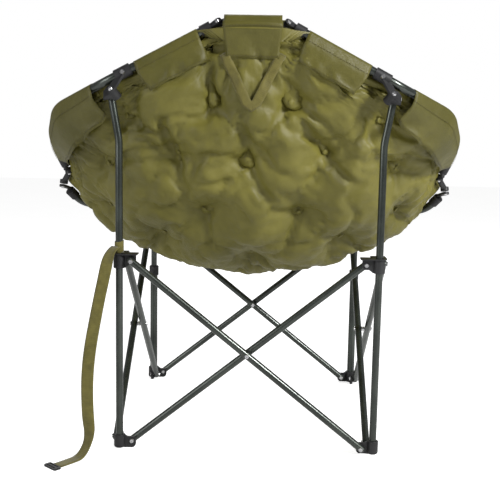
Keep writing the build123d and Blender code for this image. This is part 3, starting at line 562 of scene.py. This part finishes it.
def inflate(pad, s):
    # the padding swells between its buttons and the hem, which are held
    mesh = pad.data
    held = pad.vertex_groups.new(name="held")
    start = [v.co.copy() for v in mesh.vertices]
    fixed = []
    for i, place in enumerate(start):
        across, angle = shellPlace(place)
        edge = min((1 - abs(across)) * sectionAt(angle)[1], (saucerSettings["angles"][0] - angle) * 0.006,
                   (angle - saucerSettings["angles"][-1]) * 0.0068)
        near = min((place - t - (place - t).dot((t - hub).normalized()) * (t - hub).normalized()).length for t in tuftPoints)
        if near < s["tuftHold"] or edge < s["edgeHold"] or (place - nearestRing(place)[0]).length < 0.033:
            fixed.append(i)
    held.add(fixed, 1.0, "REPLACE")
    cloths = pad.modifiers.new("swell", "CLOTH")
    settings = cloths.settings
    settings.quality = 5
    settings.mass = 0.25
    settings.tension_stiffness = 14
    settings.compression_stiffness = 14
    settings.shear_stiffness = 7
    settings.bending_stiffness = 0.25
    settings.use_pressure = True
    settings.uniform_pressure_force = s["pressure"]
    settings.shrink_min = s["grow"]
    settings.vertex_group_mass = "held"
    settings.pin_stiffness = 1.0
    settings.effector_weights.gravity = 0
    cloths.collision_settings.use_collision = False
    scene.frame_start = 1
    scene.frame_end = s["frames"]
    for step in range(1, s["frames"] + 1):
        scene.frame_set(step)
    graph = bpy.context.evaluated_depsgraph_get()
    swollen = [v.co.copy() for v in pad.evaluated_get(graph).data.vertices]
    pad.modifiers.remove(cloths)
    scene.frame_set(1)
    for vertex, before, after in zip(mesh.vertices, start, swollen):
        move = after - before
        if move.length > s["cap"]:
            move *= s["cap"] / move.length
        vertex.co = before + move
    pad.vertex_groups.remove(held)


creaseSettings = {"pucker": 0.0060, "puckerReach": 0.055, "rays": 6, "ridge": 0.0085, "ridgeScale": 12.0,
                  "fine": 0.0026, "fineScale": 34.0, "line": 0.75}


def creaseDepth(place, s):
    across, angle = shellPlace(place)
    middle, width, edge = sectionAt(angle)
    inward = min((1 - abs(across)) * width, (saucerSettings["angles"][0] - angle) * 0.006,
                 (angle - saucerSettings["angles"][-1]) * 0.0068)
    keep = smooth(0.004, 0.035, inward)
    if keep == 0:
        return 0.0
    warp = noise.noise_vector(place * 6.5) * 0.045
    # puckers run out from each button and die away
    near = min(tuftPoints, key=lambda t: (t - place).length_squared)
    away = place - near
    reach = away.length
    turn = math.atan2(away.z, away.x)
    phase = 9 * noise.noise(near * 31)
    ray = 0.5 + 0.5 * math.cos(turn * s["rays"] + phase + 9 * noise.noise(place * 10))
    depth = s["pucker"] * ray ** 3 * math.exp(-reach / s["puckerReach"]) * smooth(0.004, 0.020, reach)
    # sharp valleys between soft swells
    ridge = 1 - abs(noise.noise((place + warp) * s["ridgeScale"])) * 3.2
    depth += s["ridge"] * max(0.0, ridge) ** 2.2
    ridge = 1 - abs(noise.noise((place + warp * 0.5) * s["fineScale"] + Vector((5, 2, 9)))) * 3.0
    depth += s["fine"] * max(0.0, ridge) ** 2
    for start, end, deep in foldLines:
        distance, t = nearLine(place + warp * 0.12, start, end)
        if distance < 0.025:
            taper = 1 - smooth(0.55, 1.0, t)
            depth += deep * s["line"] * math.exp(-(distance / 0.0060) ** 2) * taper
    return depth * keep


def pressCreases(pad, s):
    mesh = pad.data
    normals = [v.normal.copy() for v in mesh.vertices]
    for vertex, normal in zip(mesh.vertices, normals):
        vertex.co -= normal * creaseDepth(vertex.co, s)


def makeSaucer(s):
    build = bmesh.new()
    bmesh.ops.create_grid(build, x_segments=s["columns"], y_segments=s["rows"], size=1.0)
    top, low = s["angles"][0], s["angles"][-1]
    places = []
    for vertex in build.verts:
        across = math.sin(vertex.co.x * math.pi / 2 * 0.94) / math.sin(math.pi / 2 * 0.94)
        angle = lerp(low, top, (vertex.co.y + 1) / 2)
        places.append((across, angle))
        vertex.co = shellPoint(across, angle)
    addLip(build, lipSettings)
    build.verts.ensure_lookup_table()
    for vertex in build.verts[len(places):]:
        across, angle = shellPlace(vertex.co)
        places.append((math.copysign(1.0, across) if abs(across) > 0.97 else across, angle))
    bmesh.ops.recalc_face_normals(build, faces=build.faces)
    build.normal_update()
    # the seat's inner face is a copy, pushed the other way, and the rim joins the two
    bowl = sum(v.normal.dot(v.co - hub) for v in build.verts)
    outward = [v.normal * (1 if bowl > 0 else -1) for v in build.verts]
    copy = bmesh.ops.duplicate(build, geom=list(build.verts) + list(build.edges) + list(build.faces))
    twin = {a: b for a, b in copy["vert_map"].items()}
    base = [v for v in build.verts][:len(places)]
    half = s["rim"] / 2
    for i, vertex in enumerate(base):
        other = twin[vertex]
        place = vertex.co.copy()
        across, angle = places[i]
        vertex.co = place + outward[i] * (half + padding(place, across, angle, True))
        other.co = place - outward[i] * (half + padding(place, across, angle, False))
    edges = [e for e in build.edges if e.is_boundary]
    bmesh.ops.bridge_loops(build, edges=edges)
    bmesh.ops.recalc_face_normals(build, faces=build.faces)
    mesh = bpy.data.meshes.new("seatPad")
    build.to_mesh(mesh)
    build.free()
    pad = bpy.data.objects.new("seatPad", mesh)
    scene.collection.objects.link(pad)
    mesh.materials.append(cloth)
    for face in mesh.polygons:
        face.use_smooth = True
    inflate(pad, simSettings)
    pressCreases(pad, creaseSettings)
    mesh.update()
    return pad


seatPad = makeSaucer(saucerSettings)
padTree = BVHTree.FromPolygons([v.co.copy() for v in seatPad.data.vertices],
                               [list(f.vertices) for f in seatPad.data.polygons])


def onPad(place, outward, sign=1):
    start = place + outward * sign * 0.12
    hit = padTree.ray_cast(start, outward * -sign, 0.20)[0]
    return hit if hit is not None else place


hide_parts("saucer")
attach(seatPad, "back_bar")
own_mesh(seatPad)
print("seat pad made", len(seatPad.data.polygons))


# sleeves: cloth panels that wrap the ring's tube and are sewn to the shell
def strip(name, rows, thickness, material, closed=False, uvName=None):
    build = bmesh.new()
    grid = [[build.verts.new(p) for p in row] for row in rows]
    width = len(rows[0])
    layer = build.loops.layers.uv.new("along") if uvName else None
    run = [0.0]
    for i in range(1, len(rows)):
        run.append(run[-1] + (Vector(rows[i][width // 2]) - Vector(rows[i - 1][width // 2])).length)
    for i in range(len(rows) - 1):
        for j in range(width - 1):
            face = build.faces.new((grid[i][j], grid[i][j + 1], grid[i + 1][j + 1], grid[i + 1][j]))
            if layer:
                side = (Vector(rows[0][-1]) - Vector(rows[0][0])).length
                for loop, (a, b) in zip(face.loops, ((i, j), (i, j + 1), (i + 1, j + 1), (i + 1, j))):
                    loop[layer].uv = (run[a], side * b / (width - 1))
    bmesh.ops.recalc_face_normals(build, faces=build.faces)
    bmesh.ops.solidify(build, geom=list(build.faces), thickness=thickness)
    bmesh.ops.recalc_face_normals(build, faces=build.faces)
    mesh = bpy.data.meshes.new(name)
    build.to_mesh(mesh)
    build.free()
    mesh.materials.append(material)
    for face in mesh.polygons:
        face.use_smooth = True
    piece = bpy.data.objects.new(name, mesh)
    scene.collection.objects.link(piece)
    return piece


def lineLength(line):
    return sum((b - a).length for a, b in zip(line, line[1:]))


def partOf(line, start, end, count):
    out = []
    for k in range(count):
        target = lerp(start, end, k / (count - 1))
        run = 0.0
        for i, (a, b) in enumerate(zip(line, line[1:])):
            length = (b - a).length
            if run + length >= target or i == len(line) - 2:
                out.append((a.lerp(b, min(1.0, max(0.0, (target - run) / length))), (b - a).normalized()))
                break
            run += length
    return out


def sleeveRows(line, tubeRadius, flap, lapFront, skew=0.0, flapShape=None):
    rows = []
    for k, (point, along) in enumerate(line):
        share = k / (len(line) - 1)
        across, angle = shellPlace(point)
        # outward from the bowl, square to the tube, and the way into the bowl along the shell
        off = (point - hub)
        off = (off - along * off.dot(along)).normalized()
        toBowl = Vector((0, 0.0, 0.52)) + Vector((0, 0.02, 0)) - point
        inward = (toBowl - along * toBowl.dot(along))
        inward = (inward - off * inward.dot(off)).normalized()
        edge = inward * -1
        r = tubeRadius
        row = []
        # from the rim in front, round the tube's outer side, and down over the shell's back
        start = point - off * (r + 0.001) + inward * (0.012 + lapFront)
        row.append(start)
        for a in range(0, 181, 15):
            t = math.radians(a)
            row.append(point - off * (r * math.cos(t)) + edge * (r * math.sin(t)))
        length = flap if flapShape is None else flapShape(share) * flap
        for d in range(1, 9):
            reach = length * d / 8
            spot = point + off * r + inward * reach + along * (skew * reach)
            place, fan = shellPlace(spot)
            middle, width, edgeDistance = sectionAt(fan)
            shell = shellPoint(place, fan)
            outwards = (shell - hub).normalized()
            onShell = onPad(shell, outwards) + outwards * 0.0030
            blend = smooth(0.25, 1.0, d / 8)
            level = (spot - onShell).dot(outwards)
            row.append(spot - outwards * level * (blend if level > 0 else 1.0))
        rows.append(row)
    return rows


sleeveSettings = {"wall": 0.0016, "tube": 0.0098, "upper": (0.044, 0.184), "flap": 0.062}
rearLength = lineLength(rearLine)


def addSleeve(name, node, body, line, tubeRadius, flap, skew=0.0, shape=None, mirror=False, lap=0.004):
    rows = sleeveRows(line, tubeRadius, flap, lap, skew, shape)
    if mirror:
        rows = [[Vector((-p.x, p.y, p.z)) for p in row] for row in rows]
    # the sleeves take the darker cloth copy, which is painted shade
    piece = strip(name, rows, sleeveSettings["wall"], sleevePaintedShadeCloth)
    if node:
        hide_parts(node)
    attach(piece, body)
    # stitch lines along the hem and beside the tube
    for label, column, shift in (("Hem", -1, -2), ("Seam", 15, 0)):
        path = [row[column].lerp(row[column - 1], 0.55 if label == "Hem" else 0.0) for row in rows]
        normals = []
        for i, row in enumerate(rows):
            a = rows[min(i + 1, len(rows) - 1)][column] - rows[max(i - 1, 0)][column]
            b = row[column] - row[column - 1]
            n = a.cross(b).normalized()
            if n.dot(row[column] - hub) < 0:
                n.negate()
            normals.append(n)
        stitchLine(name + label, [p + n * (sleeveSettings["wall"] * 0.5 + 0.0004) for p, n in zip(path, normals)], body)
    return piece


def stitchLine(name, path, body, long=0.0042, gap=0.0020, radius=0.00045):
    total = sum((b - a).length for a, b in zip(path, path[1:]))
    count = max(2, int(total / (long + gap)))
    build = bmesh.new()
    for k in range(count):
        ends = []
        for share in (k / count, (k + long / (long + gap)) / count):
            target, run = total * share, 0.0
            for a, b in zip(path, path[1:]):
                length = (b - a).length
                if run + length >= target:
                    ends.append(a.lerp(b, (target - run) / max(length, 1e-9)))
                    break
                run += length
        if len(ends) < 2 or (ends[1] - ends[0]).length < 1e-4:
            continue
        heading = ends[1] - ends[0]
        turn = heading.to_track_quat("Z", "Y").to_matrix().to_4x4()
        bmesh.ops.create_cone(build, cap_ends=True, segments=5, radius1=radius, radius2=radius, depth=heading.length,
                              matrix=Matrix.Translation((ends[0] + ends[1]) / 2) @ turn)
    mesh = bpy.data.meshes.new(name)
    build.to_mesh(mesh)
    build.free()
    mesh.materials.append(thread)
    piece = bpy.data.objects.new(name, mesh)
    scene.collection.objects.link(piece)
    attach(piece, body)
    return piece


tube = sleeveSettings["tube"]
for hand, mirror in (("Left", False), ("Right", True)):
    body = f"rear_{hand.lower()}_ring"
    upper = partOf(rearLine, *sleeveSettings["upper"], 22)
    addSleeve(f"upperSleeve{hand}", f"rear_{hand.lower()}_sleeves", body, upper, tube, sleeveSettings["flap"], 0.10,
              mirror=mirror)
    cornerRun = (Vector(ringLine["rear"][1]) - Vector(ringLine["rear"][0])).length / 1000
    side = partOf(rearLine, cornerRun + 0.040, rearLength - 0.046, 34)
    addSleeve(f"sideSleeve{hand}", None, body, side, tube, 0.078, 0.0,
              shape=lambda t: 0.55 + 0.62 * math.sin(math.pi * (0.12 + 0.80 * t)), mirror=mirror)

backRun = [(Vector((lerp(-0.057, 0.057, k / 19), 0.265 + rise, 0.87255)), Vector((1, 0, 0))) for k in range(20)]
addSleeve("backSleeve", "back_sleeve", "back_bar", backRun, 0.0165, 0.074)
frontJoint = Vector((0, -0.37808 + rise, 0.485))
frontRun = [(frontJoint + Vector((lerp(-0.056, 0.056, k / 19), 0, 0)), Vector((1, 0, 0))) for k in range(20)]
addSleeve("frontSleeve", "front_sleeve", "front_bar", frontRun, 0.0165, 0.060)
print("sleeves made")


# carry handle: a loop of webbing sewn under the back sleeve
handleSettings = {"width": 0.018, "thick": 0.0022, "top": 0.055, "low": 0.005, "high": 0.050, "deep": -0.034, "height": 0.750}


def handlePoint(x, up):
    z = handleSettings["height"] + up
    best = min((abs(shellPoint(x / 0.35, a, 0.0).z - z), a) for a in [16 - i * 0.25 for i in range(160)])[1]
    width = sectionAt(best)[1]
    place = shellPoint(x / width, best)
    outward = (place - hub).normalized()
    return onPad(place, outward) + outward * 0.0030


def makeHandle(s):
    path = []
    for k in range(9):
        path.append((lerp(-s["top"], -s["low"] - 0.004, k / 8), lerp(s["high"] + 0.012, s["deep"] + 0.006, k / 8)))
    path.append((0.0, s["deep"] - 0.001))
    for k in range(9):
        path.append((lerp(s["low"] + 0.004, s["top"], k / 8), lerp(s["deep"] + 0.006, s["high"] + 0.012, k / 8)))
    rows = []
    for i, (x, z) in enumerate(path):
        before, after = path[max(0, i - 1)], path[min(len(path) - 1, i + 1)]
        dx, dz = after[0] - before[0], after[1] - before[1]
        length = math.hypot(dx, dz)
        nx, nz = -dz / length, dx / length
        half = s["width"] / 2
        row = []
        for j in range(5):
            t = lerp(-half, half, j / 4)
            lift = 0.006 * math.sin(math.pi * i / (len(path) - 1))
            p = handlePoint(x + nx * t, z + nz * t)
            row.append(p + (p - hub).normalized() * lift)
        rows.append(row)
    piece = strip("carryHandle", rows, s["thick"], webbing, uvName="along")
    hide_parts("carry_handle")
    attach(piece, "back_bar")
    return piece


makeHandle(handleSettings)
print("handle made")


# carry strap: flat webbing from the leg's loop down to the floor
strapSettings = {
    "heading": 48.0, "width": 0.025, "thick": 0.0018, "twist": 36.0,
    "route": [(9.1, 426.0), (24.0, 420.0), (37.0, 372.0), (54.0, 318.0), (67.0, 262.0), (77.0, 205.0),
              (83.0, 147.0), (83.0, 90.0), (76.0, 40.0), (96.0, 5.0), (126.0, 2.6), (158.0, 1.9)],
    "corner": (0.265, 0.265 + rise),
}


def nurbsPoints(points, samples):
    curve = bpy.data.curves.new("strapLine", "CURVE")
    curve.dimensions = "3D"
    spline = curve.splines.new("NURBS")
    spline.points.add(len(points) - 1)
    for spot, point in zip(spline.points, points):
        spot.co = (*point, 1)
    spline.order_u = 3
    spline.use_endpoint_u = True
    spline.resolution_u = samples
    holder = bpy.data.objects.new("strapLine", curve)
    scene.collection.objects.link(holder)
    bpy.context.view_layer.update()
    mesh = bpy.data.meshes.new_from_object(holder)
    out = [v.co.copy() for v in mesh.vertices]
    bpy.data.objects.remove(holder)
    return out


def makeStrap(s):
    heading = math.radians(s["heading"])
    out = Vector((math.cos(heading), math.sin(heading), 0))
    side = Vector((-out.y, out.x, 0))
    corner = Vector((*s["corner"], 0))
    points = [corner + out * (a / 1000) + Vector((0, 0, b / 1000)) for a, b in s["route"]]
    path = nurbsPoints(points, 8)
    rows = []
    for i, p in enumerate(path):
        share = i / (len(path) - 1)
        p = Vector((p.x, p.y, max(p.z, 0.0012)))
        cup = 0.0012 * math.sin(share * 17)
        twist = math.radians(s["twist"]) * smooth(0.02, 0.14, share) * (1 - smooth(0.66, 0.80, share))
        turned = Matrix.Rotation(twist, 3, "Z") @ side
        row = []
        for j in range(7):
            t = j / 6 * 2 - 1
            row.append(p + turned * (t * s["width"] / 2) + out * (cup * t * t))
        rows.append(row)
    ribbon = strip("carryStrap", rows, s["thick"], webbing, uvName="along")
    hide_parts("carry_strap")
    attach(ribbon, "rear_left_collar")
    # the loop round the leg, and the fold of its tail
    loop = []
    for k in range(41):
        t = 2 * math.pi * k / 40
        centre = corner + Vector((0.0094 * math.cos(t), 0.0094 * math.sin(t), 0))
        tilt = 0.006 * math.cos(t - heading)
        loop.append([centre + Vector((0, 0, lerp(0.4132, 0.4366, j / 5) - tilt * 0.3)) for j in range(6)])
    wrap = strip("strapLoop", loop, s["thick"], webbing, uvName="along")
    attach(wrap, "rear_left_collar")
    return ribbon


makeStrap(strapSettings)
print("strap made")


# buttons on the tufts, both faces
def makeButtons():
    build = bmesh.new()
    for i, (across, angle) in enumerate(tufts):
        place = tuftPoints[i]
        outward = (place - hub).normalized()
        for sign in (1, -1):
            spot = onPad(place, outward, sign) + outward * sign * 0.0008
            turn = (outward * sign).to_track_quat("Z", "Y").to_matrix().to_4x4()
            bmesh.ops.create_uvsphere(build, u_segments=14, v_segments=8, radius=0.0066,
                                      matrix=Matrix.Translation(spot) @ turn @ Matrix.Diagonal((1, 1, 0.36, 1)))
    mesh = bpy.data.meshes.new("tuftButtons")
    build.to_mesh(mesh)
    build.free()
    mesh.materials.append(cloth)
    for face in mesh.polygons:
        face.use_smooth = True
    piece = bpy.data.objects.new("tuftButtons", mesh)
    scene.collection.objects.link(piece)
    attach(piece, "back_bar")
    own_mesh(piece)


makeButtons()
print("buttons made")


# floor, background and light
def makeStage():
    build = bmesh.new()
    bmesh.ops.create_grid(build, x_segments=1, y_segments=1, size=9.0)
    mesh = bpy.data.meshes.new("studioFloor")
    build.to_mesh(mesh)
    build.free()
    floor = bpy.data.objects.new("studioFloor", mesh)
    scene.collection.objects.link(floor)
    material, tree, shader = newMaterial("paleFloor")
    points = objectPoints(tree)
    speck = noiseField(tree, points, 3.0, 2)
    tree.links.new(ramp(tree, speck, [(0.3, (0.80, 0.80, 0.80)), (0.7, (0.84, 0.84, 0.84))]), shader.inputs["Base Color"])
    shader.inputs["Roughness"].default_value = 0.9
    output = next(n for n in tree.nodes if n.type == "OUTPUT_MATERIAL")
    rays = addNode(tree, "ShaderNodeLightPath")
    glow = addNode(tree, "ShaderNodeEmission", Strength=0.74)
    total = addNode(tree, "ShaderNodeAddShader")
    mix = addNode(tree, "ShaderNodeMixShader")
    tree.links.new(shader.outputs["BSDF"], total.inputs[0])
    tree.links.new(glow.outputs["Emission"], total.inputs[1])
    tree.links.new(rays.outputs["Is Camera Ray"], mix.inputs["Fac"])
    tree.links.new(shader.outputs["BSDF"], mix.inputs[1])
    tree.links.new(total.outputs["Shader"], mix.inputs[2])
    tree.links.new(mix.outputs["Shader"], output.inputs["Surface"])
    mesh.materials.append(material)


def makeLight(name, place, target, size, power):
    data = bpy.data.lights.new(name, "AREA")
    data.size = size
    data.energy = power
    lamp = bpy.data.objects.new(name, data)
    scene.collection.objects.link(lamp)
    aim = (Vector(target) - Vector(place)).to_track_quat("-Z", "Y").to_matrix().to_4x4()
    lamp.matrix_world = Matrix.Translation(Vector(place)) @ aim


def makeWorld():
    world = bpy.data.worlds.new("studioWorld")
    scene.world = world
    world.use_nodes = True
    tree = world.node_tree
    for node in list(tree.nodes):
        tree.nodes.remove(node)
    output = addNode(tree, "ShaderNodeOutputWorld")
    rays = addNode(tree, "ShaderNodeLightPath")
    seen = addNode(tree, "ShaderNodeMath", operation="MAXIMUM")
    tree.links.new(rays.outputs["Is Camera Ray"], seen.inputs[0])
    tree.links.new(rays.outputs["Is Transmission Ray"], seen.inputs[1])
    room = addNode(tree, "ShaderNodeBackground", Color=(1, 1, 1, 1), Strength=0.25)
    white = addNode(tree, "ShaderNodeBackground", Color=(1, 1, 1, 1), Strength=1.0)
    mix = addNode(tree, "ShaderNodeMixShader")
    tree.links.new(seen.outputs["Value"], mix.inputs["Fac"])
    tree.links.new(room.outputs["Background"], mix.inputs[1])
    tree.links.new(white.outputs["Background"], mix.inputs[2])
    tree.links.new(mix.outputs["Shader"], output.inputs["Surface"])


makeStage()
makeWorld()
makeLight("keyLight", (-2.2, 1.9, 2.0), (0, 0, 0.6), 0.7, 112)
makeLight("fillLight", (2.3, 1.8, 1.2), (0, 0, 0.5), 1.5, 28)
makeLight("frontLight", (0.4, -2.6, 2.4), (0, 0, 0.5), 2.0, 34)
scene.view_settings.view_transform = "Standard"
print("stage and light set")
